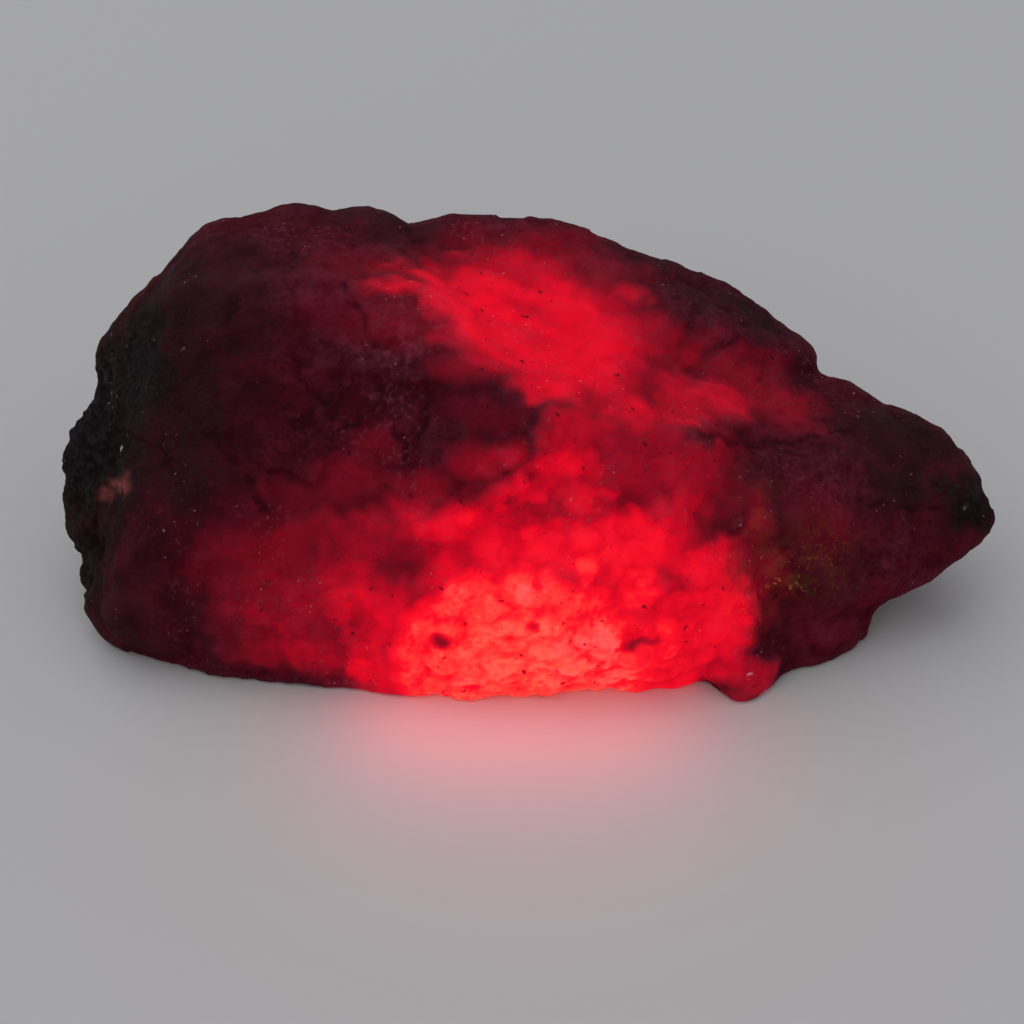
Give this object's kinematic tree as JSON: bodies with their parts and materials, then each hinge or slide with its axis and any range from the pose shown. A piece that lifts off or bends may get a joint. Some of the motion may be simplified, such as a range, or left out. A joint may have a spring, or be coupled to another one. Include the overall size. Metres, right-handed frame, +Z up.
{
  "type": "raw ruby crystal",
  "caption": "Rough lump of raw ruby with a tall blunt end, a stepped crown, a grainy bulging front and a tapering nose, lying on its flat underside.",
  "frame": {"origin": "middle of the underside, below the centre of the stone's box", "axes": "+X along the stone's length, towards the tapering nose; +Y from the grainy front to the back; +Z up from the flat underside"},
  "size_m": [0.0724, 0.04, 0.0273],
  "materials": {
    "ruby": "dull, grainy broken surface of dark red translucent stone with near-black crust at its ends"
  },
  "bodies": {
    "root": {"ruby_crystal": "ruby"}
  },
  "joints": []
}
